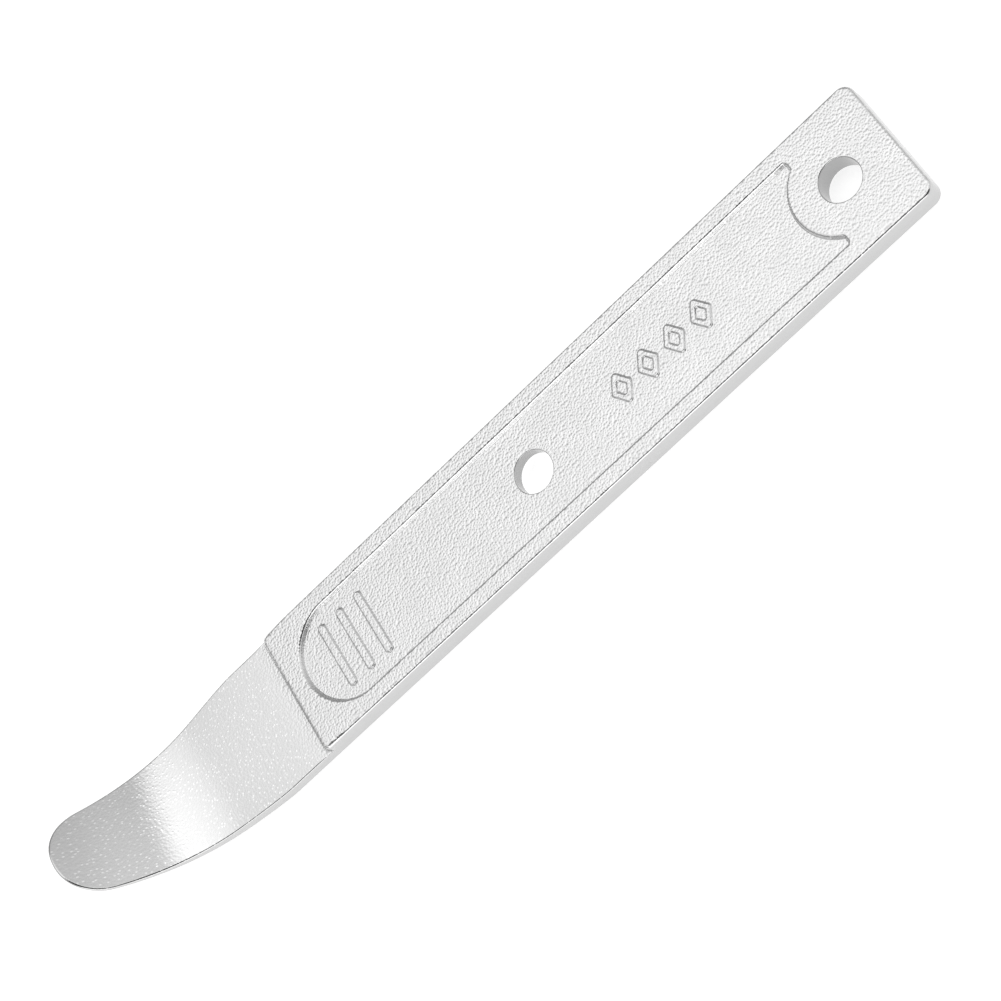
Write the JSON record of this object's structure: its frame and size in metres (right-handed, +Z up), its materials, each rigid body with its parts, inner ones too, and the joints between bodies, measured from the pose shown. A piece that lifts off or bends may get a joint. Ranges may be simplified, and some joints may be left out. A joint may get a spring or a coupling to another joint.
{
  "type": "metal spudger",
  "caption": "One-piece plated metal pry lever: flat bar handle with a recessed, ribbed grip, round through-holes and a thin rounded blade that curls up at the tip.",
  "frame": {"origin": "bottom centre of the bounding box: under the middle of the length and width, on the plane of the back face that the lever rests on", "axes": "+X along the handle towards the blade tip, +Y across the width, +Z up, out of the front face and the way the tip curls"},
  "size_m": [0.1504, 0.0204, 0.0147],
  "materials": {
    "plated_metal": "bright satin nickel-chrome plating over a finely pebbled cast surface on both faces of the handle, smooth on its sides and on the blade"
  },
  "bodies": {
    "root": {"lever": "plated_metal"}
  },
  "joints": []
}
